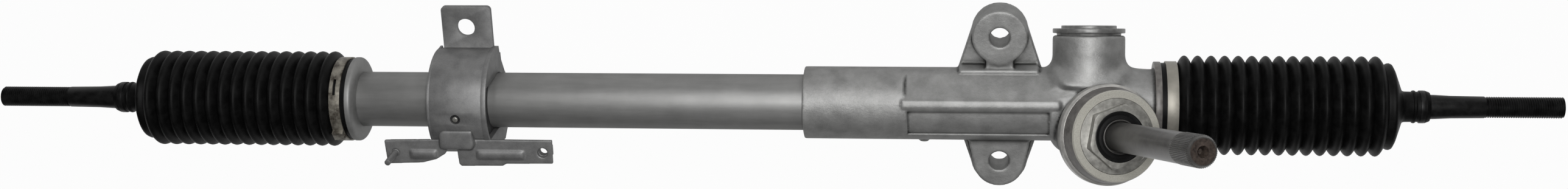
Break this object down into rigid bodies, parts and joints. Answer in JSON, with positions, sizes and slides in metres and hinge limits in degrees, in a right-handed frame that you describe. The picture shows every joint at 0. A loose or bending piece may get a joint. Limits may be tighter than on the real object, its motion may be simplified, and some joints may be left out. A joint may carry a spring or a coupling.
{
  "type": "manual rack-and-pinion steering gear",
  "caption": "Rack-and-pinion steering gear with cast pinion housing, steel tube, strap mount on a rubber bushing, bellows boots, tie rods and long input shaft.",
  "frame": {"origin": "centre of the two-ear bolt pattern on the ears' mounting face", "axes": "+X along the rack towards the pinion end, +Z along the mounting bolts towards the input shaft, +Y completes it and points to the yoke tower"},
  "size_m": [1.08, 0.1276, 0.2236],
  "materials": {
    "cast_aluminium": "sand-cast, satin",
    "tube_steel": "satin grey",
    "bracket_steel": "satin grey",
    "clamp_steel": "bright stainless",
    "boot_rubber": "matte black",
    "bush_rubber": "matte dark grey",
    "seal_rubber": "matte black",
    "shaft_steel": "machined, oiled",
    "rod_steel": "black, satin",
    "nut_steel": "zinc plated",
    "bearing_steel": "ground",
    "spring_steel": "drawn wire",
    "polymer": "moulded, natural"
  },
  "bodies": {
    "housing": {"pinion_housing": "cast_aluminium", "rack_tube": "tube_steel", "left_end_flange": "tube_steel", "rack_bush": "polymer", "pinion_bearing_outer": "bearing_steel", "pinion_bearing_balls": "bearing_steel", "needle_bearing": "bearing_steel", "pinion_nut": "nut_steel", "pinion_seal": "seal_rubber", "yoke": "cast_aluminium", "yoke_pad": "polymer", "yoke_o_ring": "seal_rubber", "yoke_spring": "spring_steel", "yoke_plug": "nut_steel", "tower_cap": "cast_aluminium", "mount_strap": "bracket_steel", "mount_saddle": "bracket_steel", "mount_bushing": "bush_rubber", "arm_bracket": "bracket_steel", "arm_stud": "bracket_steel", "arm_nut": "bracket_steel", "boot_right": "boot_rubber", "large_clamp_right": "clamp_steel", "boot_left": "boot_rubber", "large_clamp_left": "clamp_steel"},
    "rack": {"rack_bar": "shaft_steel", "ball_housing_right": "rod_steel", "lock_washer_right": "nut_steel", "ball_housing_left": "rod_steel", "lock_washer_left": "nut_steel"},
    "pinion": {"pinion_shaft": "shaft_steel", "pinion_sleeve": "nut_steel", "pinion_bearing_inner": "bearing_steel"},
    "seat_right": {"ball_seat_right": "polymer"},
    "seat_left": {"ball_seat_left": "polymer"},
    "tie_rod_right": {"tie_rod_right": "rod_steel", "small_clamp_right": "rod_steel"},
    "tie_rod_left": {"tie_rod_left": "rod_steel", "small_clamp_left": "rod_steel"}
  },
  "joints": [
    {"name": "rack_travel", "type": "slide", "parent": "housing", "child": "rack", "axis": [1, 0, 0], "range_m": [-0.066, 0.066], "deforming": ["boot_right", "boot_left"]},
    {"name": "pinion_turn", "type": "hinge", "parent": "housing", "child": "pinion", "pos_m": [0.0597, -0.02215, 0.0215], "axis": [0.3007, 0.2868, 0.9096], "range_deg": [-540, 540]},
    {"name": "swing_fore_aft_right", "type": "hinge", "parent": "rack", "child": "seat_right", "pos_m": [0.215, -0.0047, 0.016], "axis": [0, 0, 1], "range_deg": [-18, 18]},
    {"name": "swing_up_down_right", "type": "hinge", "parent": "seat_right", "child": "tie_rod_right", "pos_m": [0.215, -0.0047, 0.016], "axis": [0, 1, 0], "range_deg": [-18, 18]},
    {"name": "swing_fore_aft_left", "type": "hinge", "parent": "rack", "child": "seat_left", "pos_m": [-0.558, -0.0047, 0.016], "axis": [0, 0, 1], "range_deg": [-18, 18]},
    {"name": "swing_up_down_left", "type": "hinge", "parent": "seat_left", "child": "tie_rod_left", "pos_m": [-0.558, -0.0047, 0.016], "axis": [0, 1, 0], "range_deg": [-18, 18]}
  ],
  "couplings": [
    {"joint": "pinion_turn", "follows": "rack_travel", "rad_per_m": -141.47}
  ]
}
